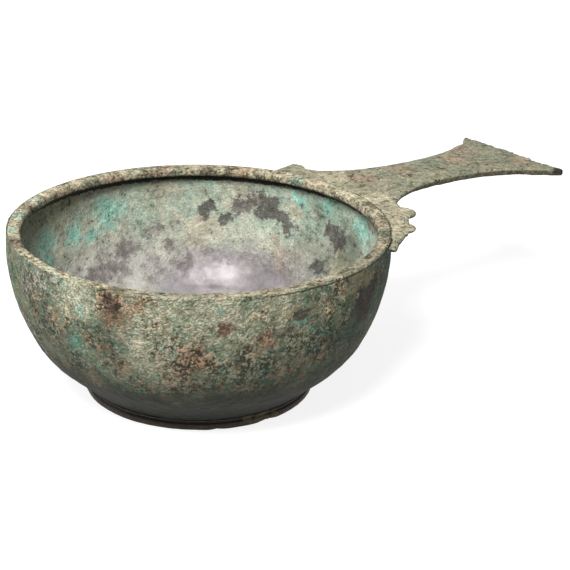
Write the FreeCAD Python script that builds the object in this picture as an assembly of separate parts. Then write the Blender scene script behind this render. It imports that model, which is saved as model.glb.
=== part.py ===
"""Bronze patera: a deep round bowl on a foot ring, with an inset rim ring and a flared plate handle.

All sizes are millimetres. The origin is the centre of the bowl on the plane that it stands on,
+Z is up and +X runs along the handle.
"""
import FreeCAD
import Part
import math
import os

# Bowl
BOWL_RADIUS = 101.0          # outside of the upright wall
HEIGHT = 90.0                # top of the rim above the table
WALL = 3.2
UPRIGHT_WALL = 8.3           # the straight stretch of wall under the top edge
SHOULDER_RADIUS = 101.0      # round shoulder under the upright wall
BELLY_HEIGHT = 26.8          # above the base, where the shoulder runs into the tighter belly
BELLY_ROUND = 45.0           # the belly runs into a straight slope down to the foot
FLOOR_THICKNESS = 3.0
FLOOR_SWEEP = 14.0           # round between the inside slope and the flat floor
UPSTAND = 1.2                # thin edge of wall left outside the rim ring
UPSTAND_DROP = 0.4           # the thin edge ends this much below the rim

# Two turned rings on the underside of the base, each given by the radius of its crest
INNER_RING_RADIUS = 16.0
OUTER_RING_RADIUS = 38.0
BASE_RING_WIDTH = 2.8        # at its foot, from which it comes to a crest
BASE_RING_HEIGHT = 1.1
LATHE_CENTRE_RADIUS = 2.2    # the dimple left by the lathe centre
LATHE_CENTRE_DEPTH = 0.9

# Rim ring
RING_HEIGHT = 5.2
LIP_OVERHANG = 4.8           # how far the lip stands in over the wall below it
LIP_ROUND = 1.7              # drawn as two bevels
RING_SLOPE = 0.5             # the top falls this much towards the mouth
RING_BEVEL = 0.4

# Foot ring
FOOT_RADIUS = 61.3
FOOT_WIDTH = 7.8             # of the face that it stands on
FOOT_HEIGHT = 5.6            # the ring by itself, without its solder
FOOT_GROOVE_HEIGHT = 4.0     # middle of the turned groove above the table
FOOT_GROOVE = 0.9            # its depth, and half its width
FOOT_SEAT_INSET = 0.7        # the solder keeps this far in from both sides of the ring
FOOT_FLARE = 1.6             # the inside of the ring opens by this much towards the table
FOOT_BEVEL = 0.5

# Soft solder, the same thickness in each seam
SOLDER = 0.3

# Handle plate: stations along its side, each measured from the bowl's wall, with half its width
ROOT_AT = 4.0
ROOT_HALF_WIDTH = 37.4
NECK_AT = 21.0
NECK_HALF_WIDTH = 25.8
WAIST_AT = 64.0
WAIST_HALF_WIDTH = 17.7
FLARE_AT = 106.0
FLARE_HALF_WIDTH = 24.4
TIP_AT = 134.5
TIP_HALF_WIDTH = 41.0
CORNER_ROUND = 1.5           # in plan, at the two corners of the end
END_BULGE = 1.8              # how far the end stands out past the line between its two corners
HANDLE_THICKNESS = 4.4
HANDLE_DROOP = 4.2           # how far the end hangs below the rim
DROOP_START = 12.0           # where the plate starts to bend down
HANDLE_TOP_DROP = 0.3        # the plate lies this much under the rim
HANDLE_BEVEL = 0.9           # along the upper edges
HANDLE_UNDER_BEVEL = 0.7

# Yoke: the crescent that clasps the bowl, cast in one with the handle
YOKE_THICKNESS = 2.8
YOKE_WIDTH = 14.0            # beside the handle
YOKE_TIP_WIDTH = 4.2
# Along the seat from the handle's middle: where the crescent has come down to its tip's width, and
# where its blunt tips end
YOKE_TIP_ALONG = 88.4
YOKE_END_ALONG = 99.0
# Lobes of its scalloped edge: each has its place along the seat from the handle's middle, the reach
# of its centre out from the seat, and its radius
FIRST_LOBE_ALONG = 43.5
FIRST_LOBE_REACH = 10.2
FIRST_LOBE_RADIUS = 7.2
SECOND_LOBE_ALONG = 64.7
SECOND_LOBE_REACH = 5.9
SECOND_LOBE_RADIUS = 5.8
NOTCH_ROUND = 1.3

# Edges and faces are picked by these: two points this close are one, and a face within this angle of
# level, in degrees, is the top or the underside
CLOSE = 0.01
LEVEL_WITHIN = 25.0

RING_RADIUS = BOWL_RADIUS - UPSTAND - SOLDER
MOUTH_WALL_RADIUS = BOWL_RADIUS - WALL
LIP_RADIUS = MOUTH_WALL_RADIUS - LIP_OVERHANG
FOOT_INNER_RADIUS = FOOT_RADIUS - FOOT_WIDTH
LEDGE_HEIGHT = HEIGHT - RING_HEIGHT - SOLDER
WALL_TOP = HEIGHT - UPSTAND_DROP
BASE_HEIGHT = FOOT_HEIGHT + SOLDER
FLOOR_HEIGHT = BASE_HEIGHT + FLOOR_THICKNESS
YOKE_RADIUS = BOWL_RADIUS + SOLDER
HANDLE_TOP = HEIGHT - HANDLE_TOP_DROP
YOKE_TIP_ANGLE = math.degrees(YOKE_TIP_ALONG / YOKE_RADIUS)
YOKE_END_ANGLE = math.degrees(YOKE_END_ALONG / YOKE_RADIUS)


def at(radius, height):
    """A point of a turned profile, in the plane of the axis."""
    return FreeCAD.Vector(radius, 0, height)


def toward(turn):
    """The direction that points out and down by an angle, in the plane of the axis."""
    return at(math.cos(turn), -math.sin(turn))


def flat(length, width):
    """A point of a plan outline."""
    return FreeCAD.Vector(length, width, 0)


def polar(radius, angle):
    """A point of a plan outline, by its distance from the bowl's axis and its angle."""
    turn = math.radians(angle)
    return flat(radius * math.cos(turn), radius * math.sin(turn))


def line(start, end):
    return Part.makeLine(start, end)


def arc(start, middle, end):
    return Part.Arc(start, middle, end).toShape()


def profile_arc(centre, radius, high_turn, low_turn):
    """An arc of a turned profile between two angles below the horizontal."""
    circle = Part.Circle(centre, FreeCAD.Vector(0, -1, 0), radius)
    circle.XAxis = FreeCAD.Vector(1, 0, 0)
    return Part.ArcOfCircle(circle, -low_turn, -high_turn).toShape()


def curve(*poles):
    """A curve that leaves its first pole and reaches its last one along the poles between them."""
    bezier = Part.BezierCurve()
    bezier.setPoles(list(poles))
    return bezier.toShape()


def turned(edges):
    """A solid of revolution about the bowl's axis."""
    profile = Part.Face(Part.Wire(edges))
    return profile.revolve(FreeCAD.Vector(0, 0, 0), FreeCAD.Vector(0, 0, 1), 360)


def turned_polygon(*points):
    """A solid of revolution with a straight-sided section."""
    corners = list(points) + [points[0]]
    return turned([line(a, b) for a, b in zip(corners, corners[1:])])


def belly():
    """Where the belly's tighter round lies, and the angle at which the straight slope leaves it."""
    shoulder = at(BOWL_RADIUS - SHOULDER_RADIUS, HEIGHT - UPRIGHT_WALL)
    shoulder_turn = math.asin((shoulder.z - BASE_HEIGHT - BELLY_HEIGHT) / SHOULDER_RADIUS)
    centre = shoulder + toward(shoulder_turn) * (SHOULDER_RADIUS - BELLY_ROUND)
    foot_corner = at(FOOT_RADIUS, BASE_HEIGHT)
    reach = foot_corner - centre
    seen_at = math.atan2(-reach.z, reach.x)
    slope_turn = seen_at - math.acos(BELLY_ROUND / reach.Length)
    return shoulder, shoulder_turn, centre, slope_turn


def make_bowl():
    """The turned bowl, with its rebated mouth and its ringed base."""
    shoulder, shoulder_turn, centre, slope_turn = belly()
    foot_corner = at(FOOT_RADIUS, BASE_HEIGHT)
    slope_top = centre + toward(slope_turn) * BELLY_ROUND

    inner_slope_top = centre + toward(slope_turn) * (BELLY_ROUND - WALL)
    down_slope = at(-math.sin(slope_turn), -math.cos(slope_turn))
    to_floor = (inner_slope_top.z - FLOOR_HEIGHT) / math.cos(slope_turn)
    floor_corner = inner_slope_top + down_slope * to_floor
    sweep_angle = math.pi / 2 - slope_turn
    sweep_length = FLOOR_SWEEP * math.tan(sweep_angle / 2)
    sweep_top = floor_corner - down_slope * sweep_length
    floor_edge = floor_corner - at(sweep_length, 0)
    sweep_centre = floor_edge + at(0, FLOOR_SWEEP)

    upstand_inside = BOWL_RADIUS - UPSTAND
    bowl = turned([
        line(at(0, BASE_HEIGHT), foot_corner),
        line(foot_corner, slope_top),
        profile_arc(centre, BELLY_ROUND, shoulder_turn, slope_turn),
        profile_arc(shoulder, SHOULDER_RADIUS, 0, shoulder_turn),
        line(at(BOWL_RADIUS, shoulder.z), at(BOWL_RADIUS, WALL_TOP)),
        line(at(BOWL_RADIUS, WALL_TOP), at(upstand_inside, WALL_TOP)),
        line(at(upstand_inside, WALL_TOP), at(upstand_inside, LEDGE_HEIGHT)),
        line(at(upstand_inside, LEDGE_HEIGHT), at(MOUTH_WALL_RADIUS, LEDGE_HEIGHT)),
        line(at(MOUTH_WALL_RADIUS, LEDGE_HEIGHT), at(MOUTH_WALL_RADIUS, shoulder.z)),
        profile_arc(shoulder, SHOULDER_RADIUS - WALL, 0, shoulder_turn),
        profile_arc(centre, BELLY_ROUND - WALL, shoulder_turn, slope_turn),
        line(inner_slope_top, sweep_top),
        profile_arc(sweep_centre, FLOOR_SWEEP, slope_turn, math.pi / 2),
        line(floor_edge, at(0, FLOOR_HEIGHT)),
        line(at(0, FLOOR_HEIGHT), at(0, BASE_HEIGHT)),
    ])
    for radius in (INNER_RING_RADIUS, OUTER_RING_RADIUS):
        ridge = turned_polygon(at(radius - BASE_RING_WIDTH / 2, BASE_HEIGHT),
                               at(radius, BASE_HEIGHT - BASE_RING_HEIGHT),
                               at(radius + BASE_RING_WIDTH / 2, BASE_HEIGHT))
        bowl = bowl.fuse(ridge)
    dimple = turned_polygon(at(0, BASE_HEIGHT), at(LATHE_CENTRE_RADIUS, BASE_HEIGHT),
                            at(0, BASE_HEIGHT + LATHE_CENTRE_DEPTH))
    return bowl.cut(dimple).removeSplitter()


def make_rim_ring():
    """The heavy ring let into the mouth, whose lip overhangs the inside of the bowl."""
    base = HEIGHT - RING_HEIGHT
    lip_top = HEIGHT - RING_SLOPE
    round_centre = at(LIP_RADIUS + LIP_ROUND, lip_top - LIP_ROUND)
    round_middle = round_centre + at(-1, 1).normalize() * LIP_ROUND
    return turned_polygon(at(RING_RADIUS, base), at(RING_RADIUS, HEIGHT - RING_BEVEL),
                          at(RING_RADIUS - RING_BEVEL, HEIGHT), at(LIP_RADIUS + LIP_ROUND, lip_top),
                          round_middle, at(LIP_RADIUS, lip_top - LIP_ROUND), at(LIP_RADIUS, base))


def make_rim_solder():
    """The seam under the rim ring, on the ledge of the bowl's mouth."""
    seat = LEDGE_HEIGHT + SOLDER
    return turned_polygon(at(MOUTH_WALL_RADIUS, LEDGE_HEIGHT), at(RING_RADIUS, LEDGE_HEIGHT),
                          at(RING_RADIUS, seat), at(MOUTH_WALL_RADIUS, seat))


def make_foot_ring():
    """The turned foot, with one groove round its outside."""
    groove_low = FOOT_GROOVE_HEIGHT - FOOT_GROOVE
    groove_high = FOOT_GROOVE_HEIGHT + FOOT_GROOVE
    return turned_polygon(at(FOOT_INNER_RADIUS, 0), at(FOOT_RADIUS - FOOT_BEVEL, 0),
                          at(FOOT_RADIUS, FOOT_BEVEL), at(FOOT_RADIUS, groove_low),
                          at(FOOT_RADIUS - FOOT_GROOVE, FOOT_GROOVE_HEIGHT), at(FOOT_RADIUS, groove_high),
                          at(FOOT_RADIUS, FOOT_HEIGHT), at(FOOT_INNER_RADIUS - FOOT_FLARE, FOOT_HEIGHT))


def make_foot_solder():
    """The seam between the foot ring and the base."""
    inner = FOOT_INNER_RADIUS - FOOT_FLARE + FOOT_SEAT_INSET
    outer = FOOT_RADIUS - FOOT_SEAT_INSET
    return turned_polygon(at(inner, FOOT_HEIGHT), at(outer, FOOT_HEIGHT),
                          at(outer, BASE_HEIGHT), at(inner, BASE_HEIGHT))


def handle_side(side):
    """One long edge of the handle, from its root in the yoke out to the corner of its flared end."""
    stations = ((ROOT_AT, ROOT_HALF_WIDTH), (NECK_AT, NECK_HALF_WIDTH), (WAIST_AT, WAIST_HALF_WIDTH),
                (FLARE_AT, FLARE_HALF_WIDTH), (TIP_AT, TIP_HALF_WIDTH))
    points = [flat(BOWL_RADIUS + reach, side * half_width) for reach, half_width in stations]
    spline = Part.BSplineCurve()
    spline.interpolate(Points=points)
    return spline.toShape()


def handle_outline():
    """The handle's plan, from under the yoke to the flared end."""
    left = handle_side(1)
    right = handle_side(-1)
    left_root = flat(BOWL_RADIUS + ROOT_AT, ROOT_HALF_WIDTH)
    right_root = flat(BOWL_RADIUS + ROOT_AT, -ROOT_HALF_WIDTH)
    left_tip = flat(BOWL_RADIUS + TIP_AT, TIP_HALF_WIDTH)
    right_tip = flat(BOWL_RADIUS + TIP_AT, -TIP_HALF_WIDTH)
    end = arc(left_tip, flat(BOWL_RADIUS + TIP_AT + END_BULGE, 0), right_tip)
    inner_reach = YOKE_RADIUS * math.cos(math.asin(ROOT_HALF_WIDTH / YOKE_RADIUS))
    left_inner = flat(inner_reach, ROOT_HALF_WIDTH)
    right_inner = flat(inner_reach, -ROOT_HALF_WIDTH)
    return Part.Face(Part.Wire(Part.__sortEdges__([
        left, end, right, line(right_root, right_inner), line(right_inner, left_inner),
        line(left_inner, left_root)])))


def crescent():
    """The yoke's plan before its lobes: an off-centre disc, cut by the bowl and by the two end lines."""
    root = YOKE_RADIUS + YOKE_WIDTH
    tip = YOKE_RADIUS + YOKE_TIP_WIDTH
    offset = (root ** 2 - tip ** 2) / (2 * (root - tip * math.cos(math.radians(YOKE_TIP_ANGLE))))
    whole = disc(flat(offset, 0), root - offset)
    reach = 2 * root
    wedge = Part.Face(Part.makePolygon([flat(0, 0), polar(reach, -YOKE_TIP_ANGLE), flat(reach, 0),
                                        polar(reach, YOKE_TIP_ANGLE), flat(0, 0)]))
    return whole.common(wedge).Faces[0]


def tip_strip(side):
    """The narrow end of the yoke beyond the crescent, along the bowl's wall."""
    start = side * YOKE_TIP_ANGLE
    end = side * YOKE_END_ANGLE
    middle = (start + end) / 2
    inner = BOWL_RADIUS - WALL
    outer = YOKE_RADIUS + YOKE_TIP_WIDTH
    return Part.Face(Part.Wire([
        arc(polar(inner, start), polar(inner, middle), polar(inner, end)),
        line(polar(inner, end), polar(outer, end)),
        arc(polar(outer, end), polar(outer, middle), polar(outer, start)),
        line(polar(outer, start), polar(inner, start))]))


def disc(centre, radius):
    return Part.Face(Part.Wire(Part.makeCircle(radius, centre)))


def lobe(side, along, reach, radius):
    """One rounded lobe of the yoke's edge, on one side of the handle."""
    return disc(polar(YOKE_RADIUS + reach, side * math.degrees(along / YOKE_RADIUS)), radius)


def yoke_and_plate():
    """The whole plan of the casting as an upright prism, seated round the bowl."""
    faces = [handle_outline()]
    for side in (1, -1):
        faces += [tip_strip(side),
                  lobe(side, FIRST_LOBE_ALONG, FIRST_LOBE_REACH, FIRST_LOBE_RADIUS),
                  lobe(side, SECOND_LOBE_ALONG, SECOND_LOBE_REACH, SECOND_LOBE_RADIUS)]
    upright = FreeCAD.Vector(0, 0, 2 * HEIGHT)
    prism = crescent().extrude(upright)
    prism = prism.fuse([face.extrude(upright) for face in faces])
    return prism.cut(disc(flat(0, 0), YOKE_RADIUS).extrude(upright)).removeSplitter()


def plate_section():
    """Side view of the handle: level in the yoke, then thicker and bent gently down to its end."""
    start = BOWL_RADIUS / 2
    bend = BOWL_RADIUS + DROOP_START
    end = BOWL_RADIUS + TIP_AT + END_BULGE + HANDLE_THICKNESS
    thick_at = BOWL_RADIUS + WAIST_AT
    top = HANDLE_TOP
    low = HANDLE_TOP - YOKE_THICKNESS
    drop = HANDLE_DROOP
    top_bend = curve(at(bend, top), at((bend + end) / 2, top), at(end, top - drop))
    slope = 2 * drop / (end - bend)
    waist_share = (thick_at - bend) / (end - bend)
    waist_drop = drop * waist_share ** 2
    under_waist = at(thick_at, top - waist_drop - HANDLE_THICKNESS)
    lead = (thick_at - bend) / 3
    root_bend = curve(at(bend, low), at(bend + lead, low),
                      under_waist + at(-lead, slope * waist_share * lead), under_waist)
    under_end = at(end, top - drop - HANDLE_THICKNESS)
    outer_lead = (end - thick_at) / 2
    under_bend = curve(under_waist, under_waist + at(outer_lead, -slope * waist_share * outer_lead), under_end)
    return Part.Face(Part.Wire([
        line(at(start, top), at(bend, top)), top_bend, line(at(end, top - drop), under_end),
        under_bend, root_bend, line(at(bend, low), at(start, low)), line(at(start, low), at(start, top))]))


def is_upright(edge):
    box = edge.BoundBox
    return max(box.XLength, box.YLength) < CLOSE < box.ZLength


def is_on_seat(edge):
    """Whether an edge runs along the face that is soldered to the bowl."""
    reaches = [math.hypot(vertex.Point.x, vertex.Point.y) for vertex in edge.Vertexes]
    return max(reaches) < YOKE_RADIUS + CLOSE


def notch_edges(casting):
    """The upright edges of the yoke's scalloped outline."""
    upright = [edge for edge in casting.Edges if is_upright(edge) and not is_on_seat(edge)]
    return [edge for edge in upright if edge.Vertexes[0].Point.x < BOWL_RADIUS + NECK_AT]


def corner_edges(casting):
    """The upright edges at the two corners of the flared end."""
    upright = [edge for edge in casting.Edges if is_upright(edge)]
    return [edge for edge in upright if edge.Vertexes[0].Point.x > BOWL_RADIUS + FLARE_AT]


def outline_edges(casting, up):
    """The edges round the top of the casting, or with up = -1 round its underside, but not at the seat."""
    level = math.cos(math.radians(LEVEL_WITHIN))
    faces = []
    for face in casting.Faces:
        low_u, high_u, low_v, high_v = face.ParameterRange
        normal = face.normalAt((low_u + high_u) / 2, (low_v + high_v) / 2)
        if normal.z * up > level:
            faces.append(face)
    edges = [edge for face in faces for edge in face.Edges]
    alone = [edge for edge in edges if sum(edge.isSame(other) for other in edges) == 1]
    return [edge for edge in alone if not is_on_seat(edge)]


def make_handle():
    """The cast handle and its yoke, in one piece, with its edges bevelled."""
    width = 2 * (YOKE_RADIUS + YOKE_WIDTH)
    plate = plate_section().extrude(FreeCAD.Vector(0, width, 0))
    plate.translate(FreeCAD.Vector(0, -width / 2, 0))
    casting = plate.common(yoke_and_plate()).removeSplitter()
    casting = casting.makeFillet(NOTCH_ROUND, notch_edges(casting))
    casting = casting.makeFillet(CORNER_ROUND, corner_edges(casting))
    casting = casting.makeChamfer(HANDLE_BEVEL, outline_edges(casting, 1))
    return casting.makeChamfer(HANDLE_UNDER_BEVEL, outline_edges(casting, -1))


def make_handle_solder():
    """The seam between the yoke and the bowl's wall."""
    low = HANDLE_TOP - YOKE_THICKNESS
    depth = YOKE_THICKNESS - HANDLE_BEVEL
    band = turned_polygon(at(BOWL_RADIUS, low), at(YOKE_RADIUS, low),
                          at(YOKE_RADIUS, low + depth), at(BOWL_RADIUS, low + depth))
    reach = 2 * YOKE_RADIUS
    wedge = Part.Face(Part.makePolygon([flat(0, 0), polar(reach, -YOKE_END_ANGLE), flat(reach, 0),
                                        polar(reach, YOKE_END_ANGLE), flat(0, 0)]))
    return band.common(wedge.extrude(FreeCAD.Vector(0, 0, HEIGHT)))


PIECES = {
    "bowl": make_bowl,
    "rim_ring": make_rim_ring,
    "rim_solder": make_rim_solder,
    "foot_ring": make_foot_ring,
    "foot_solder": make_foot_solder,
    "handle": make_handle,
    "handle_solder": make_handle_solder,
}

os.makedirs("parts", exist_ok=True)
for name, make in PIECES.items():
    piece = make()
    if len(piece.Solids) == 1:
        piece = piece.Solids[0]
    piece.exportStep("parts/" + name + ".step")
    box = piece.BoundBox
    print(name, "solids", len(piece.Solids), "valid", piece.isValid(), "volume", round(piece.Volume),
          "x", round(box.XMin, 1), round(box.XMax, 1), "y", round(box.YMin, 1), round(box.YMax, 1),
          "z", round(box.ZMin, 1), round(box.ZMax, 1))
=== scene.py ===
import math
import bmesh
import bpy
from mathutils import Matrix, Vector, noise


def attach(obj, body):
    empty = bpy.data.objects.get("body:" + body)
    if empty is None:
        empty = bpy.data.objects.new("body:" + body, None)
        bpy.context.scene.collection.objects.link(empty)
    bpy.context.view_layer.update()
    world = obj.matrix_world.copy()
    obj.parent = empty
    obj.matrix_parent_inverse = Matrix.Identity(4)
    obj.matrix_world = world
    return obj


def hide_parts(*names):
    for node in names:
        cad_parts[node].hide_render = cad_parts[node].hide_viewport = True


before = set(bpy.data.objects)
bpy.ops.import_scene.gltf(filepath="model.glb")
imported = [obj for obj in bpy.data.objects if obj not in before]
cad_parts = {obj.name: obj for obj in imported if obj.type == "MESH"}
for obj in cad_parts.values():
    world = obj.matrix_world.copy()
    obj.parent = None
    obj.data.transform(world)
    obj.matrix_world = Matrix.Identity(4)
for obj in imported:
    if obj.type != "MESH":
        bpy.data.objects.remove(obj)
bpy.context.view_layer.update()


# ---
# The bowl is cast in bronze and turned on a lathe: an upright top, a round belly, a straight slope to
# the foot, and a rebate at the mouth for the rim ring. Outside it wears a granular crust of green and
# brown corrosion, smoother and darker towards the foot; painted shade darkens it further low down and on
# the side turned from the light, and painted light pales the top of the front. Inside it was tinned, and
# the tin shows low down; painted shadow darkens the inside's left wall and the wall under the lip.
def along(start, end, count):
    """Points of a section from start up to, but not at, its end."""
    return [(start[0] + (end[0] - start[0]) * i / count, start[1] + (end[1] - start[1]) * i / count)
            for i in range(count)]


def round_to(centre, radius, start, end, count):
    """Points of a section on an arc, by angles below the horizontal."""
    turns = [start + (end - start) * i / count for i in range(count)]
    return [(centre[0] + radius * math.cos(a), centre[1] - radius * math.sin(a)) for a in turns]


def turned(section, columns, closed=False):
    """The shell that a section makes when it is spun about the bowl's axis."""
    work = bmesh.new()
    corners = [work.verts.new((r, 0, z)) for r, z in section]
    pairs = list(zip(corners, corners[1:])) + ([(corners[-1], corners[0])] if closed else [])
    edges = [work.edges.new(pair) for pair in pairs]
    bmesh.ops.spin(work, geom=corners + edges, cent=(0, 0, 0), axis=(0, 0, 1), dvec=(0, 0, 0),
                   angle=2 * math.pi, steps=columns, use_merge=True)
    bmesh.ops.remove_doubles(work, verts=work.verts, dist=0.002)
    bmesh.ops.recalc_face_normals(work, faces=work.faces)
    return work


def lumps(place, size, shift):
    """Unevenness between about -1 and 1, in lumps so many millimetres across. A shift picks a pattern."""
    fading, finer, octaves = 0.9, 2.1, 3
    return noise.fractal(place / size + Vector((shift, 3.7 * shift, -shift)), fading, finer, octaves)


def finished(work, name, *materials):
    """The piece, in metres, from its mesh in millimetres, on its body and in its material."""
    bmesh.ops.scale(work, verts=work.verts, vec=(0.001, 0.001, 0.001))
    for face in work.faces:
        face.smooth = True
    mesh = bpy.data.meshes.new(name)
    work.to_mesh(mesh)
    work.free()
    for material in materials:
        mesh.materials.append(material)
    piece = bpy.data.objects.new(name, mesh)
    bpy.context.scene.collection.objects.link(piece)
    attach(piece, "root")
    return piece


def tint(red, green, blue):
    """A colour as it looks, from 0 to 255 each, in the shader's own units."""
    return tuple(((c / 255 + 0.055) / 1.055) ** 2.4 for c in (red, green, blue)) + (1.0,)


class Field:
    """A value that changes over a surface. Arithmetic on it adds the Math nodes."""

    def __init__(self, finish, socket):
        self.finish = finish
        self.socket = socket

    def sum_of(self, operation, first, second):
        return self.finish.add("ShaderNodeMath", {"operation": operation}, {0: first, 1: second})

    def __add__(self, other):
        return self.sum_of("ADD", self, other)

    def __radd__(self, other):
        return self.sum_of("ADD", other, self)

    def __sub__(self, other):
        return self.sum_of("SUBTRACT", self, other)

    def __rsub__(self, other):
        return self.sum_of("SUBTRACT", other, self)

    def __mul__(self, other):
        return self.sum_of("MULTIPLY", self, other)

    def highest(self, other):
        return self.sum_of("MAXIMUM", self, other)

    def ramp(self, low, high):
        """0 below low and 1 above high, with a soft step between; low may be the larger."""
        return self.finish.add("ShaderNodeMapRange", {"interpolation_type": "SMOOTHSTEP"},
                               {"Value": self, "From Min": low, "From Max": high})


class Finish:
    """A material, or the studio's sky, and the nodes it is made of. Sizes and places are millimetres,
    and a shift sets one pattern apart from the others."""

    def __init__(self, name, kept_in=bpy.data.materials):
        self.made = kept_in.new(name)
        self.made.use_nodes = True
        self.tree = self.made.node_tree
        self.tree.nodes.clear()
        self.place = self.add("ShaderNodeTexCoord", output="Object")
        self.torn = self.place

    def add(self, kind, settings=None, inputs=None, output=0):
        """Adds a node: its settings first, then the values or links of its sockets."""
        node = self.tree.nodes.new(kind)
        for key, value in (settings or {}).items():
            setattr(node, key, value)
        for key, value in (inputs or {}).items():
            if isinstance(value, Field):
                self.tree.links.new(value.socket, node.inputs[key])
            else:
                node.inputs[key].default_value = value
        return Field(self, node.outputs[output]) if node.outputs else None

    def mottle(self, size, shift, rough=0.62, output="Fac"):
        """Cloudy variation about 0.5, in patches of a size."""
        moved = self.add("ShaderNodeVectorMath", {"operation": "ADD"},
                         {0: self.place, 1: (0.13 * shift, 0.29 * shift, 0.17 * shift)})
        return self.add("ShaderNodeTexNoise", {}, {"Vector": moved, "Scale": 1000 / size,
                                                   "Detail": 5.0, "Roughness": rough}, output)

    def ruffled(self, size, reach, shift, place=None):
        """The place, pushed about by up to a reach, so that what follows it gets a ragged edge."""
        push = self.mottle(size, shift, output="Color")
        span = 0.004 * reach                  # in metres, as the noise keeps within a quarter of its middle
        scaled = self.add("ShaderNodeVectorMath", {"operation": "MULTIPLY_ADD"},
                          {0: push, 1: (span,) * 3, 2: (-0.5 * span,) * 3})
        return self.add("ShaderNodeVectorMath", {"operation": "ADD"}, {0: place or self.place, 1: scaled})

    def height(self):
        """Height above the table, in millimetres."""
        return self.add("ShaderNodeSeparateXYZ", {}, {0: self.place}, "Z") * 1000

    def crust(self, size, shift):
        """A granular crust: 0 in its crevices and 1 on its grains, and a chance value for each grain."""
        place = self.ruffled(2.0 * size, 0.5 * size, shift)
        inputs = {"Vector": place, "Scale": 1000 / size}
        gap = self.add("ShaderNodeTexVoronoi", {}, inputs, "Distance")
        chance = self.add("ShaderNodeTexVoronoi", {}, inputs, "Color")
        cloud = self.mottle(2.6 * size, shift + 1, rough=0.72)
        grains = (0.8 - gap) * 0.7
        dust = (cloud - 0.5) * 2.1
        rise = grains + dust + 0.24           # the last term puts its middle near 0.5
        return rise, self.add("ShaderNodeSeparateColor", {}, {0: chance}, "Red")

    def stains(self, *spots):
        """1 in the middle of a stain and 0 at its edge: each spot is x, y, z and its radius."""
        field = None
        for x, y, z, radius in spots:
            away = self.add("ShaderNodeVectorMath", {"operation": "DISTANCE"},
                            {0: self.torn, 1: (x / 1000, y / 1000, z / 1000)}, "Value")
            near = 1 - away * (1000 / radius)
            field = near if field is None else field.highest(near)
        return field.highest(0.0)

    def over(self, under, colour, mask):
        """A colour laid over another where the mask is 1."""
        return self.add("ShaderNodeMix", {"data_type": "RGBA"}, {0: mask, 6: under, 7: colour}, 2)

    def dark(self, colour, shade, mask):
        """A colour times a shade where the mask is 1."""
        return self.add("ShaderNodeMix", {"data_type": "RGBA", "blend_type": "MULTIPLY"},
                        {0: mask, 6: colour, 7: (shade, shade, shade, 1)}, 2)

    def shades(self, tone, deep, middle, pale):
        """One kind of corrosion: its colour in crevices, between them and on the grains."""
        low = self.over(tint(*deep), tint(*middle), tone.ramp(0.15, 0.5))
        return self.over(low, tint(*pale), tone.ramp(0.5, 0.85))

    def surface(self, colour, roughness, relief, depth, metallic=0.0, gloss=0.3):
        """The shader, with a relief of so many millimetres."""
        bump = self.add("ShaderNodeBump", {}, {"Strength": 1.0, "Distance": depth / 1000, "Height": relief})
        shader = self.add("ShaderNodeBsdfPrincipled", {}, {
            "Base Color": colour, "Roughness": roughness, "Metallic": metallic,
            "Specular IOR Level": gloss, "Normal": bump})
        self.add("ShaderNodeOutputMaterial", {}, {"Surface": shader})
        return self.made


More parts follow.
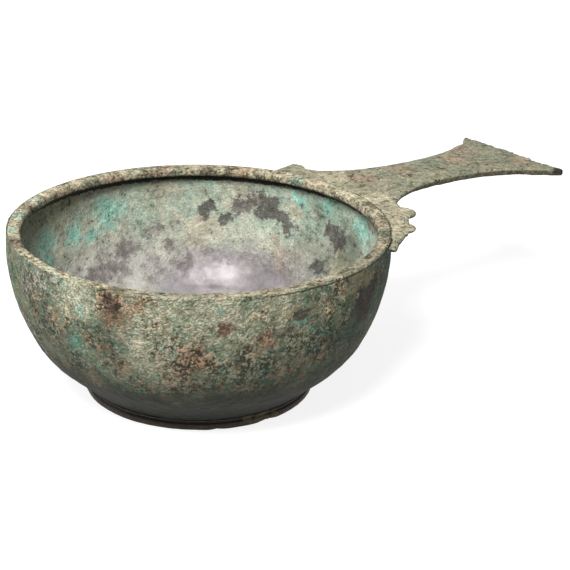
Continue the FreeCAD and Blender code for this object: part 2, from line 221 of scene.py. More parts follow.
def bowl_outside():
    """Crust of the bowl's outside, its stains, the smooth dark zone above the foot, and painted light and shade.
    """
    f = Finish("bowl_crust")
    f.torn = f.ruffled(3.0, 2.2, 6, f.ruffled(14.0, 6.0, 5))
    rise, chance = f.crust(1.25, 1)
    broad = f.mottle(40, 2)
    patch = f.mottle(13, 3)
    small = f.mottle(5, 4)
    edge = (small - 0.5) * 1.4 + (rise - 0.5) * 0.5
    coarse = f.mottle(17, 7) - 0.5 + edge * 0.2
    coarse = coarse + f.stains((8, -99, 76, 22), (-60, -78, 46, 30), (-30, -92, 46, 26)) * 0.16
    coarse = coarse.ramp(-0.04, 0.12)
    grain = (rise - 0.5) * (0.5 + coarse * 0.75) + (chance - 0.5) * (0.1 + coarse * 0.3)
    # A paler crust round the top of the front wall, partly its own colour and partly painted light where the wall
    # faces the lamps.
    crown = f.stains((-72, -70, 81, 34), (-52, -86, 82, 32), (-30, -96, 84, 26), (-95, -32, 84, 22),
                     (-78, -60, 62, 26))
    tone = 0.5 + grain + (patch - 0.5) * 0.7 + (small - 0.5) * 0.3 + crown * 0.2

    colour = f.shades(tone, (54, 58, 43), (124, 130, 106), (194, 195, 170))
    tan = f.shades(tone, (58, 46, 31), (158, 138, 105), (220, 202, 168))
    colour = f.over(colour, tan, (f.mottle(9, 15) - 0.5 + edge * 0.3 + coarse * 0.08).ramp(0.02, 0.16) * 0.8)
    green = f.shades(tone, (34, 56, 42), (80, 116, 92), (138, 172, 146))
    leafy = f.stains((70, -72, 60, 60), (20, -96, 56, 34)) * 0.12
    colour = f.over(colour, green, (f.mottle(11, 8) - 0.5 + edge * 0.35 + leafy).ramp(0.0, 0.16) * 0.85)
    rust = f.shades(tone, (50, 35, 25), (132, 100, 74), (198, 158, 128))
    colour = f.over(colour, rust, (f.mottle(7, 9) - 0.5 + edge * 0.4).ramp(0.05, 0.2) * 0.8)
    blue = f.shades(tone, (40, 84, 72), (92, 160, 142), (156, 212, 196))
    colour = f.over(colour, blue, (f.mottle(5.5, 10) - 0.5 + edge * 0.4).ramp(0.08, 0.24) * 0.8)
    colour = f.over(colour, f.shades(tone, (70, 66, 48), (152, 150, 124), (212, 206, 182)),
                    (crown + edge * 0.9).ramp(0.25, 0.7) * 0.55)
    top = rise.ramp(0.42, 0.62) * f.stains((-60, -80, 50, 75)).ramp(0.0, 0.3)
    colour = f.over(colour, tint(190, 160, 138), top * chance.ramp(0.7, 0.78) * 0.45)
    colour = f.over(colour, tint(122, 172, 158), top * chance.ramp(0.2, 0.13) * 0.3)

    turquoise = f.stains((-98.6, -21.8, 87, 7), (-94.4, -25.4, 56, 12), (-83.9, -50.7, 57, 7),
                         (-98, -30, 74, 7), (-54.2, -85.2, 85, 5), (-13.9, -99.7, 73, 10),
                         (-73, -66, 66, 7), (26, -96, 74, 8))
    colour = f.over(colour, blue, (turquoise + edge * 0.7).ramp(0.3, 0.8) * 0.6)
    brown = f.stains((-88.2, -49.2, 79, 18), (-50.5, -87, 74, 8), (-60.2, -77.6, 58, 15), (-30, -96, 66, 9),
                     (-66, -74, 50, 12), (-80, -60, 84, 10))
    colour = f.over(colour, rust, (brown + edge * 0.7).ramp(0.2, 0.7) * 0.7)
    core = f.stains((-88.2, -49.2, 80, 8), (-51, -86.8, 74, 7.5), (31, -95.5, 70, 15), (-14, -99, 76, 6),
                    (-22, -98, 70, 6), (38, -93, 62, 9))
    umber = f.shades(tone, (28, 22, 17), (74, 58, 46), (118, 94, 76))
    colour = f.over(colour, umber, (core + edge * 0.4).ramp(0.2, 0.5) * 0.85)
    cream = f.stains((14, -99, 86, 13), (30, -96, 85, 11), (-36, -93, 80, 9), (22, -98, 77, 8),
                     (2, -100, 76, 9))
    colour = f.over(colour, f.shades(tone, (70, 60, 40), (164, 152, 118), (232, 222, 192)),
                    (cream + edge * 0.7).ramp(0.3, 0.65) * 0.75)
    pale = f.stains((-100.5, 9.7, 79, 14), (-100, -4, 84, 12), (-97, -16, 87, 8), (-93, -30, 80, 6))
    colour = f.over(colour, f.shades(tone, (76, 76, 64), (150, 150, 136), (200, 200, 190)),
                    (pale + edge * 0.7).ramp(0.25, 0.65) * 0.6)
    black = f.stains((34.2, -93.9, 66.8, 3.2), (33, -94.4, 72, 2))
    colour = f.over(colour, tint(16, 15, 11), (black + edge * 0.3).ramp(0.15, 0.4) * 0.85)
    # Darker crust in places; on the right, the side turned from the light, this darkening is painted shade.
    grey = f.stains((-99.7, -4.2, 64, 18), (-97, -12, 52, 20), (60, -80, 70, 36), (74, -62, 70, 36),
                    (30, -92, 48, 32), (36, -93, 72, 26), (-88, -44, 60, 18))
    colour = f.dark(colour, 0.64, (grey + edge * 0.5).ramp(0.1, 0.7))

    seam = f.height() + (small - 0.5) * 1.2
    seam = seam.ramp(87.7, 88.1) * seam.ramp(88.9, 88.4) * f.stains((8, -100, 88, 50)).ramp(0.0, 0.3)
    colour = f.over(colour, tint(26, 22, 14), seam * 0.8)
    right = f.stains((70, -60, 30, 60)) * 26
    low = f.height() + (patch - 0.5) * 46 + (broad - 0.5) * 34 - right
    bare = low.ramp(44, 26)
    smooth = f.over(tint(44, 52, 36), tint(66, 60, 42), patch.ramp(0.4, 0.62))
    smooth = f.over(smooth, tint(92, 100, 78), (small - 0.5 + (rise - 0.5) * 0.4).ramp(0.08, 0.26))
    colour = f.over(colour, smooth, bare * 0.9)
    # Painted shade: the colour darkens towards the foot, where the belly turns down away from the light.
    colour = f.dark(colour, 0.2, f.height().ramp(54, 12))
    relief = rise * (0.6 + coarse * 0.4) * (1 - bare * 0.7) + small * 1.4 + patch
    return f.surface(colour, 0.75, relief, 1.9)


def bowl_inside():
    """Sage and grey corrosion over grey tin, with dark purple-brown patches, green blooms, and painted shadow on
    the left wall and under the lip.
    """
    f = Finish("bowl_tinning")
    f.torn = f.ruffled(2.6, 1.8, 16, f.ruffled(11.0, 6.5, 15))
    rise, chance = f.crust(1.1, 11)
    broad = f.mottle(36, 12)
    patch = f.mottle(10, 13)
    small = f.mottle(3.5, 14)
    tone = rise * 0.45 + (chance - 0.5) * 0.1 + (patch - 0.5) * 1.1 + (small - 0.5) * 0.7 + 0.34
    edge = (small - 0.5) * 1.3 + (patch - 0.5) * 0.6

    colour = f.shades(tone, (104, 106, 90), (156, 158, 142), (196, 193, 174))
    sage = f.shades(tone, (84, 104, 90), (136, 156, 138), (176, 190, 170))
    upper = f.height().ramp(40, 80) * 0.12
    colour = f.over(colour, sage, (broad - 0.5 + edge * 0.25 + upper).ramp(-0.02, 0.14) * 0.7)
    clay = f.shades(tone, (98, 88, 70), (162, 152, 130), (200, 192, 168))
    colour = f.over(colour, clay, (f.mottle(18, 17) - 0.5 + edge * 0.25).ramp(0.02, 0.16) * 0.7)
    blotch = (f.mottle(9, 18) - 0.5 + edge * 0.3).ramp(0.08, 0.26)
    colour = f.over(colour, tint(104, 104, 90), blotch * 0.6)
    dull = (f.height() + (patch - 0.5) * 34).ramp(50, 34)
    colour = f.over(colour, f.shades(tone, (94, 88, 88), (140, 134, 131), (178, 174, 166)), dull * 0.8)

    tin = f.stains((49.8, 66.8, 30, 23), (64.7, 47.9, 27, 25), (57, 58, 26, 28), (36, 66, 20, 24),
                   (74, 34, 24, 24), (30, 30, 9, 60), (-20, 0, 9, 70))
    tinned = (tin + edge * 0.5).ramp(0.0, 0.6)
    grey = f.over(tint(106, 98, 100), tint(134, 127, 131), (patch + small * 0.3).ramp(0.45, 0.85))
    grey = f.over(grey, tint(148, 144, 132), (f.mottle(7, 20) - 0.5).ramp(0.06, 0.2) * 0.6)
    colour = f.over(colour, grey, tinned * 0.85)
    web = f.stains((15, 86, 34, 32), (33, 76, 27, 22), (-10, 84, 32, 28), (76, 30, 26, 18))
    veins = f.over(tint(178, 178, 168), tint(122, 115, 113), (f.mottle(6, 19) - 0.5).ramp(-0.02, 0.1))
    colour = f.over(colour, veins, (web + edge * 0.5).ramp(0.15, 0.7) * 0.6 * (1 - tinned))
    haze = f.stains((16.1, 89.2, 45, 12), (10.1, 88.6, 41.6, 11), (2.4, 87.5, 38, 11),
                    (-5.8, 85.5, 34.6, 12), (-14, 82, 31, 10), (34, 87.5, 54, 8), (28, 89, 53, 6),
                    (44, 74, 34, 8), (40, 82, 44, 7))
    smoke = f.over(tint(104, 96, 94), tint(78, 70, 68), small.ramp(0.4, 0.6))
    colour = f.over(colour, smoke, (haze + edge * 0.8).ramp(0.15, 0.75) * 0.75)

    blue = f.shades(tone, (64, 118, 106), (114, 176, 160), (158, 210, 196))
    bloom = f.stains((7.5, 96.4, 67, 20), (-42, 86, 63, 19), (-62, 74, 60, 13), (94, -23, 72, 18),
                     (97, 8, 80, 16), (60, 76, 76, 12), (-20, 94, 60, 13), (-44, 84, 52, 12),
                     (92, 30, 78, 10), (-5, 92, 56, 12))
    colour = f.over(colour, blue, (bloom + edge * 0.7).ramp(0.25, 0.85) * 0.7)
    ochre = f.stains((38, 90, 76, 20), (10, 97, 80, 18), (60, 78, 74, 12), (54, 74, 44, 12))
    colour = f.over(colour, clay, (ochre + edge * 0.6).ramp(0.2, 0.8) * 0.6)
    olive = f.stains((95, -6, 66, 18), (94, -14, 56, 18), (90, 4, 44, 15), (96, 14, 72, 12), (91, -20, 50, 14))
    colour = f.over(colour, f.shades(tone, (50, 58, 46), (102, 112, 96), (146, 152, 134)),
                    (olive + edge * 0.6).ramp(0.15, 0.75) * 0.75)
    mauve = f.stains((58.7, 76.1, 63, 7), (62, 74, 66, 5), (68, 67, 60, 6), (71, 64, 63, 6),
                     (74.5, 61.5, 67, 7), (78.5, 57.2, 69.5, 8), (82.6, 51.1, 69, 7.5),
                     (85.5, 45.5, 67, 7.5), (87.5, 40.5, 64.5, 7), (88.8, 35.6, 61, 6), (96, 4, 64, 8),
                     (95.7, -3, 61, 9), (94.6, 0, 56, 7), (90.2, 8.8, 45, 7), (89.6, 5, 42.5, 7))
    purple = f.shades(tone, (36, 30, 29), (60, 52, 50), (92, 84, 80))
    colour = f.over(colour, purple, (mauve + edge * 0.55).ramp(0.12, 0.5) * 0.85)
    red = f.stains((83.6, 39.8, 50, 6), (84.4, 33, 44, 8), (82, 38, 42, 5), (58, 76, 56, 7), (83, 31, 38, 6))
    rust = f.shades(tone, (84, 68, 56), (140, 118, 100), (182, 162, 142))
    colour = f.over(colour, rust, (red + edge * 0.7).ramp(0.2, 0.7) * 0.65)
    # Painted shadow: olive-brown over the inside's left wall, which faces away from the light; the spot low on
    # the right is a darker patch of crust.
    shade = f.stains((-44.3, 87.1, 82, 30), (-70, 66, 78, 34), (-90, 38, 72, 36), (-20, 96, 82, 20),
                     (92, -10, 46, 16))
    colour = f.over(colour, f.shades(tone, (70, 68, 46), (126, 124, 94), (168, 166, 134)),
                    (shade + edge * 0.6).ramp(0.15, 0.8) * 0.65)
    hollow = f.stains((86, 16, 42, 28), (92, -8, 50, 24), (74, 36, 32, 16)).ramp(0.0, 0.6)
    colour = f.dark(colour, 0.7, hollow)
    # Painted shadow: the wall under the overhanging lip, from about 81 mm up, is coloured near black.
    undercut_shadow = (f.height() + (small - 0.5) * 4 + (patch - 0.5) * 3).ramp(80.9, 81.7)
    colour = f.over(colour, tint(20, 19, 12), undercut_shadow * 0.95)
    pits = (small * 0.6 + rise * 0.4).ramp(0.38, 0.24) * (1 - tinned * 0.7)
    colour = f.dark(colour, 0.45, pits * 0.8)
    relief = rise * 0.4 * (1 - tinned) + small * (1 - tinned * 0.92) + patch * 1.2 * (1 - tinned * 0.8)
    rubbed = f.stains((56, 59.5, 27, 19), (52, 64, 28, 16)).ramp(0.0, 0.5)
    roughness = 0.62 - tinned * 0.08 - rubbed * 0.11
    return f.surface(colour, roughness, relief, 0.8, metallic=tinned * 0.1, gloss=0.5)


MOUTH, CRUST = 100.75, 0.25                   # outside of the upright wall, and the room left for its crust
SHOULDER, BELLY = (0, 81.7), (48.98, 54.53)   # centres of the round shoulder and of the tighter belly
SHOULDER_END, BELLY_END = math.radians(29.0), math.radians(49.4)
BELLY_ROUND, WALL = 44.75, 3.2
UNDER, FLOOR, FOOT_OUT = 5.9, 8.9, 61.1       # under and over the flat floor, and where the slope starts
CORNER, CORNER_ROUND = (54.7, 22.9), 14.0     # the round inside corner between floor and slope
REBATE, LEDGE, TOP = 99.8, 84.5, 89.55        # the rebate for the ring, its ledge, and the wall's top
PINHOLE = 0.05                                # the section keeps this far from the axis
slope_top = (BELLY[0] + BELLY_ROUND * math.cos(BELLY_END), BELLY[1] - BELLY_ROUND * math.sin(BELLY_END))
slope_in = (slope_top[0] - WALL * math.cos(BELLY_END), slope_top[1] + WALL * math.sin(BELLY_END))
section = (along((PINHOLE, UNDER), (40, UNDER), 16) + along((40, UNDER), (FOOT_OUT, UNDER), 14)
           + along((FOOT_OUT, UNDER), slope_top, 24)
           + round_to(BELLY, BELLY_ROUND, BELLY_END, SHOULDER_END, 14)
           + round_to(SHOULDER, MOUTH, SHOULDER_END, 0, 46) + along((MOUTH, 81.7), (MOUTH, 89.2), 7)
           + [(MOUTH, 89.3), (MOUTH - 0.35, TOP), (99.95, TOP), (REBATE, 89.3), (REBATE, LEDGE), (98.0, LEDGE)]
           + round_to(SHOULDER, MOUTH - WALL + CRUST, 0, SHOULDER_END, 40)
           + round_to(BELLY, BELLY_ROUND - WALL + CRUST, SHOULDER_END, BELLY_END, 12)
           + along(slope_in, (65.3, 13.5), 10) + round_to(CORNER, CORNER_ROUND, BELLY_END, math.pi / 2, 9)
           + along((CORNER[0], FLOOR), (PINHOLE, FLOOR), 30) + [(PINHOLE, FLOOR)])
bowl = turned(section, columns=380)
for corner in bowl.verts:
    radius = math.hypot(corner.co.x, corner.co.y)
    if radius < 1 or corner.co.z > 89.4:      # the floor's middle and the top edge stay as turned
        continue
    waves = 0.30 * lumps(corner.co, 38, 1.3)
    dents = 0.18 * lumps(corner.co, 5.5, 2.1)
    corner.co += corner.normal * (waves + dents - 0.1)
bowl.normal_update()
TINNING, LEANING, LIP_INSIDE = 1, 0.3, 96     # a face that leans to the axis, or up within the lip, is tinned
for face in bowl.faces:
    middle = face.calc_center_median()
    radius = math.hypot(middle.x, middle.y)
    outward = face.normal.x * middle.x + face.normal.y * middle.y
    if outward < -LEANING * radius or (face.normal.z > LEANING and radius < LIP_INSIDE):
        face.material_index = TINNING
bowl = finished(bowl, "bowl_body", bowl_outside(), bowl_inside())
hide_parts("bowl")


# ---
# The rim ring is a heavy bronze ring let into the mouth and soldered. Its lip overhangs the inside and
# is rounded from use; its crust is tan and sage, chipped brown in places.
def rim_crust():
    f = Finish("rim_crust")
    f.torn = f.ruffled(3.0, 1.6, 22, f.ruffled(9.0, 4.0, 21))
    rise, chance = f.crust(1.3, 23)
    patch = f.mottle(9, 25)
    small = f.mottle(3.5, 26)
    tone = rise * 0.8 + (chance - 0.5) * 0.3 + (patch - 0.5) * 0.8 + (small - 0.5) * 0.6 + 0.1
    edge = (small - 0.5) * 1.2 + (patch - 0.5) * 0.5
    colour = f.shades(tone, (84, 78, 58), (164, 156, 130), (214, 204, 178))
    peach = f.shades(tone, (94, 72, 52), (170, 142, 114), (212, 186, 158))
    colour = f.over(colour, peach, (f.mottle(20, 27) - 0.5 + edge * 0.2).ramp(0.02, 0.14) * 0.7)
    sage = f.shades(tone, (62, 70, 54), (118, 128, 108), (170, 176, 154))
    colour = f.over(colour, sage, (f.mottle(16, 28) - 0.5 + edge * 0.2).ramp(0.02, 0.14) * 0.7)
    brown = f.stains((-92, 32, 89, 13), (60, 73, 89, 9), (70, 64, 89, 7), (36, 90, 89, 8), (-84, -48, 89, 8),
                     (94, -30, 89, 9), (-60, 76, 89, 10))
    umber = f.shades(tone, (44, 34, 28), (86, 70, 58), (128, 110, 94))
    colour = f.over(colour, umber, (brown + edge * 0.6).ramp(0.3, 0.65) * 0.7)
    blue = f.shades(tone, (60, 110, 98), (110, 164, 150), (160, 206, 194))
    green = f.stains((-70, 68, 88, 14), (-84, 50, 88, 12), (90, 28, 87, 12), (-98, -14, 88, 6), (-50, 82, 87, 10))
    colour = f.over(colour, blue, (green + edge * 0.6).ramp(0.3, 0.9) * 0.4)
    cream = f.stains((-40, -87, 90, 20), (0, -96, 90, 22), (96, -10, 90, 20), (86, 44, 90, 20))
    colour = f.over(colour, f.shades(tone, (104, 94, 70), (184, 174, 146), (230, 220, 192)),
                    (cream + edge * 0.7).ramp(0.2, 0.8) * 0.7)
    # Painted shade: the rim's near side, towards the camera, whose top faces the light, is darkened.
    front = f.add("ShaderNodeSeparateXYZ", {}, {0: f.place}, "Y").ramp(-0.02, -0.07)
    colour = f.dark(colour, 0.66, front)
    flat = f.add("ShaderNodeVectorMath", {"operation": "MULTIPLY"}, {0: f.place, 1: (1000, 1000, 0)})
    inner = f.add("ShaderNodeVectorMath", {"operation": "LENGTH"}, {0: flat}, "Value") + (small - 0.5) * 3
    colour = f.dark(colour, 0.5, inner.ramp(96, 93.6) * (1 - front) * 0.45)
    # Painted shade: the lower part of the lip and its underside are coloured dark olive, the shadow under the
    # overhang.
    under = (f.height() + (small - 0.5) * 3).ramp(86.6, 85.0)
    colour = f.over(colour, tint(44, 44, 28), under * 0.85)
    return f.surface(colour, 0.72, rise * 0.5 + small + patch * 1.5, 0.9)


LIP, LIP_ROUND = (94.9, 87.7), 1.9            # centre and radius of the lip's rounded edge
RING_OUT, RING_IN, RING_UNDER = 99.75, 93.0, 84.85
HELD, RIM_TOP = 99.3, 90                      # the rebate guards the ring from wear beyond this radius
turns = [math.radians(10 * i) for i in range(1, 9)]
lip = [(LIP[0] - LIP_ROUND * math.sin(a), LIP[1] + LIP_ROUND * math.cos(a)) for a in turns]
section = (along((99.45, 84.9), (RING_OUT, 85.3), 2) + along((RING_OUT, 85.4), (RING_OUT, 89.6), 4)
           + along((99.7, 89.75), (LIP[0], 89.6), 7) + lip + along((RING_IN, LIP[1]), (RING_IN, 85.5), 3)
           + [(93.1, 85.2), (93.4, 84.9)] + along((93.8, RING_UNDER), (99.3, RING_UNDER), 7))
ring = turned(section, columns=420, closed=True)
for corner in ring.verts:
    place = corner.co.copy()
    worn = 0.3 * lumps(place, 17, 4.1) + 0.18 * lumps(place, 4, 5.2) - 0.16
    if math.hypot(place.x, place.y) > HELD:
        worn = 0.0
    corner.co += corner.normal * worn
    corner.co.z = min(corner.co.z, RIM_TOP)
ring = finished(ring, "rim_band", rim_crust())
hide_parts("rim_ring")


# ---
# The foot is a turned bronze ring soldered under the bowl, with one groove round its outside. It is
# rubbed brown and nearly free of crust, with black dirt in the groove, and chipped at the front.
def foot_skin():
    f = Finish("foot_brown")
    f.torn = f.ruffled(3.0, 1.5, 31)
    patch = f.mottle(8, 32)
    small = f.mottle(2.2, 33)
    tone = (patch - 0.5) * 1.4 + (small - 0.5) + 0.5
    colour = f.shades(tone, (36, 30, 24), (66, 56, 46), (100, 88, 72))
    warm = f.shades(tone, (40, 32, 26), (78, 62, 50), (112, 94, 78))
    colour = f.over(colour, warm, f.height().ramp(3.2, 2.4) * 0.7)
    groove = (f.height() + (small - 0.5) * 1.2).ramp(2.9, 3.5) * f.height().ramp(5.1, 4.6)
    colour = f.over(colour, tint(18, 15, 12), groove * 0.92)
    chip = f.stains((-4.9, -61.1, 2.5, 8), (-13, -60, 4.5, 5), (3, -61, 1.5, 5))
    colour = f.over(colour, tint(142, 128, 102), (chip + (small - 0.5)).ramp(0.2, 0.7) * 0.6)
    return f.surface(colour, 0.6, patch + small, 0.5, gloss=0.4)


def slope(value, start, width):
    """0 up to a start, 1 from a width beyond it, and straight between."""
    return min(1.0, max(0.0, (value - start) / width))


groove = [(61.1, 3.2), (60.5, 3.6), (60.25, 4.0), (60.5, 4.4), (61.1, 4.85)]
section = (along((53.6, 0.05), (60.6, 0.05), 7) + [(60.9, 0.12), (61.15, 0.4)]
           + along((61.2, 0.6), (61.2, 3.0), 3) + groove + along((61.2, 5.0), (61.2, 5.5), 2)
           + along((61.1, 5.58), (52.2, 5.58), 8) + along((52.1, 5.5), (53.4, 0.3), 5))
foot = turned(section, columns=320, closed=True)
CHIPS = ((-92, 7, 1.3), (-118, 4, 0.7))       # middle and half width in degrees, depth in millimetres
STANDING = 0.03                               # the lowest that a worn place of the foot comes
for corner in foot.verts:
    corner.co += corner.normal * (0.12 * lumps(corner.co, 9, 6.1) + 0.06 * lumps(corner.co, 2.5, 7.2) - 0.06)
    around = math.degrees(math.atan2(corner.co.y, corner.co.x))
    outer = slope(math.hypot(corner.co.x, corner.co.y), 57.5, 3)
    gone = sum(max(0.0, 1 - abs(around - middle) / half) * depth for middle, half, depth in CHIPS)
    corner.co.z = max(corner.co.z, STANDING + gone * outer * (1 + 0.4 * lumps(corner.co, 2, 12.3)))
foot = finished(foot, "foot_band", foot_skin())
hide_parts("foot_ring")


# ---
# The handle is a flat cast plate with a crescent yoke that clasps the rim, scalloped along its edge.
# The plate narrows to a waist and flares to a broken, ragged end. It is cast in one, filed and soldered on.
def handle_skin():
    f = Finish("handle_crust")
    f.torn = f.ruffled(3.0, 1.4, 42, f.ruffled(9.0, 4.0, 41))
    rise, chance = f.crust(1.15, 43)
    patch = f.mottle(9, 45)
    small = f.mottle(3.2, 46)
    tone = rise * 0.6 + (chance - 0.5) * 0.2 + (patch - 0.5) * 0.8 + (small - 0.5) * 0.6 + 0.26
    edge = (small - 0.5) * 1.2 + (patch - 0.5) * 0.5
    colour = f.shades(tone, (78, 76, 58), (142, 139, 116), (182, 174, 148))
    sage = f.shades(tone, (64, 72, 56), (120, 128, 108), (158, 163, 142))
    colour = f.over(colour, sage, (f.mottle(22, 47) - 0.5 + edge * 0.25).ramp(-0.02, 0.1) * 0.75)
    rosy = f.stains((119.5, 8.4, 88, 15), (194, 8, 87, 16), (225, -14, 86, 13), (213, 20, 86, 11),
                    (150, 6, 88, 12))
    rose = f.shades(tone, (98, 78, 62), (158, 134, 114), (190, 166, 144))
    colour = f.over(colour, rose, (rosy + edge * 0.7).ramp(0.2, 0.75) * 0.7)
    cream = f.stains((104, -24, 88, 24), (92, -52, 88, 20), (108, -44, 88, 12), (108, 20, 88, 20),
                     (80, -66, 88, 18))
    colour = f.over(colour, f.shades(tone, (106, 96, 72), (178, 168, 142), (218, 208, 182)),
                    (cream + edge * 0.6).ramp(0.15, 0.8) * 0.75)
    amber = f.stains((110, -45, 87, 6), (87, -49, 89, 5), (74, -68, 88, 4))
    colour = f.over(colour, tint(132, 98, 62), (amber + edge * 0.5).ramp(0.2, 0.6) * 0.65)
    pit = f.stains((116.7, 14.8, 89, 3.2), (114.3, -5, 89, 4), (137, 16, 89, 3.4), (146.6, -4.2, 89, 3.5),
                   (164, -0.8, 89, 3.2), (173.8, -3.2, 88, 3.2), (108.7, -38.9, 89, 3), (128, 2, 89, 2.6),
                   (186, 12, 88, 2.8), (203, -12, 88, 3))
    pits = (pit + edge * 0.3).ramp(0.2, 0.5).highest((small * 0.6 + rise * 0.4).ramp(0.34, 0.24) * 0.7)
    colour = f.over(colour, tint(58, 58, 44), pits * 0.75)
    # Painted shade: faces that turn away from upright, the plate's edges and undersides and the lobes' sides, are
    # coloured dark.
    facing = f.add("ShaderNodeNewGeometry", output="Normal")
    painted_side_shade = f.add("ShaderNodeSeparateXYZ", {}, {0: facing}, "Z").ramp(0.55, 0.1)
    colour = f.over(colour, f.shades(tone, (34, 30, 20), (72, 66, 48), (120, 112, 88)), painted_side_shade * 0.85)
    burnt = f.stains((236, -41, 86, 8), (234, 39, 86, 5))
    colour = f.over(colour, tint(24, 20, 18), (burnt + edge * 0.2).ramp(0.1, 0.5) * 0.9)
    return f.surface(colour, 0.7, rise * 0.6 + small + patch * 1.3 - pits * 0.7, 1.0)


casting = bmesh.new()
casting.from_mesh(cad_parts["handle"].data)
bmesh.ops.remove_doubles(casting, verts=casting.verts, dist=0.000002)
bmesh.ops.scale(casting, verts=casting.verts, vec=(1000, 1000, 1000))
solid = bpy.data.meshes.new("handle_solid")
casting.to_mesh(solid)
casting.free()
block = bpy.data.objects.new("handle_block", solid)
bpy.context.scene.collection.objects.link(block)
even = block.modifiers.new("even", "REMESH")
even.mode = "VOXEL"
even.voxel_size = 0.62
even_mesh = bpy.data.meshes.new_from_object(block.evaluated_get(bpy.context.evaluated_depsgraph_get()))
bpy.data.objects.remove(block)
handle = bmesh.new()
handle.from_mesh(even_mesh)
for _ in range(5):
    bmesh.ops.smooth_vert(handle, verts=handle.verts, factor=0.5,
                          use_axis_x=True, use_axis_y=True, use_axis_z=True)
handle.normal_update()

# Wear and damage, in millimetres, and in degrees round the axis from the middle of the handle.
SEAT, SEAT_END, PRESSED = 102.5, -47, 0.9     # the yoke's inner edge closes on the crusted bowl
NEAR_LOBES, INNER_LOBE = (-42, -18), -28      # the near lobes stand out more, most of all beyond the inner one
NEAR_TIP, TIP_SHORT = -42, 1.3                # the near tip ends short
FAR_ARM, FAR_LOW, FAR_RIM = 26, 2.4, 103      # the far arm is worn low, and in towards the rim
DENT, DENT_SIDE, DENT_DEEP = 223, 15, 1.7     # the end's far corner is pushed in
BREAK = 226                                   # beyond this the end is broken and ragged
HORN, HORN_SIDE = 224, -30                    # the end's near corner is drawn out
HANDLE_END, HANDLE_TOP = 237.2, 89.95
for corner in handle.verts:
    place = corner.co.copy()
    corner.co += corner.normal * (0.24 * lumps(place, 15, 8.3) + 0.13 * lumps(place, 3.5, 9.1) - 0.05)
    reach = math.hypot(place.x, place.y)
    around = math.degrees(math.atan2(place.y, place.x))
    outward = Vector((place.x, place.y, 0))
    if reach < SEAT and around > SEAT_END:
        corner.co -= outward / reach * PRESSED
    if reach > 106 and NEAR_LOBES[0] < around < NEAR_LOBES[1] and place.x < 125:
        fuller = 0.55 if around > INNER_LOBE else 0.9
        corner.co += Vector((corner.normal.x, corner.normal.y, 0)) * fuller
    if around < NEAR_TIP and reach < 112:
        sideways = Vector((-place.y, place.x, 0))
        corner.co += sideways / reach * TIP_SHORT * slope(-around, -NEAR_TIP, 8)
    if around > FAR_ARM and reach < 130:
        lost = slope(around, FAR_ARM, 4)
        corner.co.z -= FAR_LOW * lost
        corner.co -= outward / reach * lost * max(0.0, reach - FAR_RIM) * 0.6
    if place.x > 205 and place.y > DENT_SIDE:
        dent = math.exp(-((place.x - DENT) / 6) ** 2)
        corner.co.y -= DENT_DEEP * dent * slope(place.y, DENT_SIDE, 15)
    if place.x > BREAK:
        level = Vector((0, place.y, 0))
        ragged = 0.5 + 1.1 * lumps(level, 9, 10.4) + 0.7 * lumps(level, 2.6, 11.1)
        bite = max(0.0, ragged) * 1.5 * (place.x - BREAK) / 10
        corner.co.x -= bite * slope(place.y, -38, 8)
    if place.x > HORN and place.y < HORN_SIDE:
        pull = (place.x - HORN) / 12 * (HORN_SIDE - place.y) / 11
        corner.co += Vector((2.6 * pull, -1.2 * pull, 0))
        corner.co.x = min(corner.co.x, HANDLE_END)
    corner.co.z = min(corner.co.z, HANDLE_TOP)
handle = finished(handle, "handle_casting", handle_skin())
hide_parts("handle")


# ---
# Soft solder holds the rim ring, the foot and the handle. It shows only as thin dull grey lines,
# stained brown and black by dirt.
def solder_skin():
    f = Finish("solder_grey")
    patch = f.mottle(5, 51)
    colour = f.shades((patch - 0.5) * 2 + 0.5, (40, 38, 30), (78, 76, 66), (112, 110, 100))
    return f.surface(colour, 0.6, patch, 0.2, metallic=0.2, gloss=0.4)


solder = solder_skin()
for name in ("rim_solder", "foot_solder", "handle_solder"):
    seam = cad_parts[name]
    seam.data.materials.clear()
    seam.data.materials.append(solder)


# ---
# The studio: a pale floor that is white to the camera and keeps the shadow, soft boxes above the front
# and the left, and a camera at the photograph's height and angle.
TURN = Matrix.Rotation(math.radians(-39.7), 4, "Z")   # from the camera's frame to the vessel's


def studio_floor():
    f = Finish("floor_paper")
    camera_ray = f.add("ShaderNodeLightPath", output="Is Camera Ray")
    glossy_ray = f.add("ShaderNodeLightPath", output="Is Glossy Ray")
    plain = f.add("ShaderNodeBsdfDiffuse", {}, {"Color": (0.3, 0.3, 0.295, 1)})
    glow = f.add("ShaderNodeEmission", {}, {"Color": (1, 1, 1, 1), "Strength": 0.86})
    both = f.add("ShaderNodeAddShader", {}, {0: plain, 1: glow})
    shown = f.add("ShaderNodeMixShader", {}, {0: camera_ray.highest(glossy_ray), 1: plain, 2: both})
    f.add("ShaderNodeOutputMaterial", {}, {"Surface": shown})
    return f.made


def studio_sky():
    """White where the camera sees it, and otherwise a weak even light."""
    f = Finish("studio", bpy.data.worlds)
    ambient = f.add("ShaderNodeBackground", {}, {"Color": (1, 1, 1, 1), "Strength": 0.2})
    white = f.add("ShaderNodeBackground", {}, {"Color": (1, 1, 1, 1)})
    camera_ray = f.add("ShaderNodeLightPath", output="Is Camera Ray")
    chosen = f.add("ShaderNodeMixShader", {}, {0: camera_ray, 1: ambient, 2: white})
    f.add("ShaderNodeOutputWorld", {}, {"Surface": chosen})
    return f.made


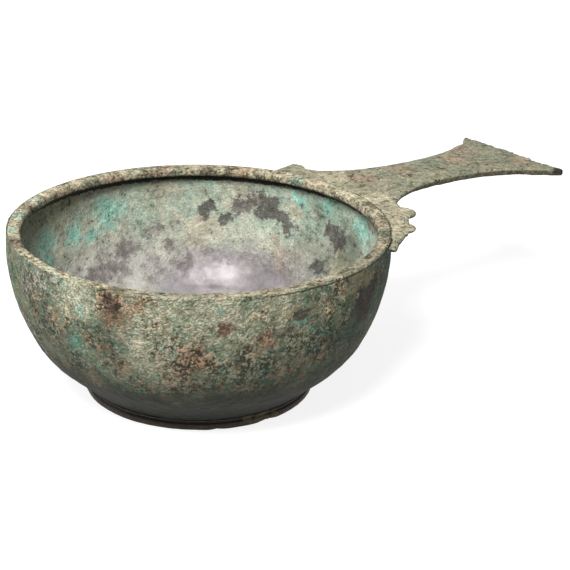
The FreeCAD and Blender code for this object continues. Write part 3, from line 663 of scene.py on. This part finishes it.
paper = bmesh.new()
bmesh.ops.create_grid(paper, x_segments=8, y_segments=8, size=4.0)
floor_mesh = bpy.data.meshes.new("floor")
paper.to_mesh(floor_mesh)
paper.free()
floor_mesh.materials.append(studio_floor())
floor = bpy.data.objects.new("floor", floor_mesh)
bpy.context.scene.collection.objects.link(floor)
bpy.context.scene.world = studio_sky()


def soft_box(name, azimuth, elevation, distance, size, power):
    """An area light that faces the bowl. Its azimuth is counted from the right in the camera's own frame."""
    a, e = math.radians(azimuth), math.radians(elevation)
    toward = Vector((math.cos(a) * math.cos(e), math.sin(a) * math.cos(e), math.sin(e)))
    lamp = bpy.data.lights.new(name, "AREA")
    lamp.shape = "RECTANGLE"
    lamp.size, lamp.size_y = size
    lamp.energy = power
    lamp_object = bpy.data.objects.new(name, lamp)
    lamp_object.location = TURN @ (toward * distance) + Vector((0, 0, 0.06))
    lamp_object.rotation_euler = (TURN.to_3x3() @ toward).to_track_quat("Z", "Y").to_euler()
    bpy.context.scene.collection.objects.link(lamp_object)


soft_box("key_box", azimuth=-109, elevation=53, distance=1.3, size=(0.5, 0.45), power=30)
soft_box("left_box", azimuth=175, elevation=32, distance=1.5, size=(1.0, 0.8), power=6)

scene = bpy.context.scene
scene.view_settings.view_transform = "Standard"
tilt, roll = math.radians(22.174), math.radians(1.440)
forward = Vector((0, math.cos(tilt), -math.sin(tilt)))
right = Vector((1, 0, 0))
up = right.cross(forward)
across = right * math.cos(roll) + up * math.sin(roll)
upward = up * math.cos(roll) - right * math.sin(roll)
AIM, DISTANCE = Vector((0.04535, 0, 0.05655)), 0.90336
SENSOR, FOCAL, PICTURE = 36.0, 1700, 570      # millimetres of the sensor, and pixels of lens and picture
spot = AIM - forward * DISTANCE
camera_data = bpy.data.cameras.new("camera")
camera_data.sensor_width = SENSOR
camera_data.lens = SENSOR * FOCAL / PICTURE
camera_data.clip_start = 0.05
camera = bpy.data.objects.new("camera", camera_data)
facing = Matrix((across, upward, -forward)).transposed().to_4x4()
camera.matrix_world = TURN @ Matrix.Translation(spot) @ facing
scene.collection.objects.link(camera)
scene.camera = camera
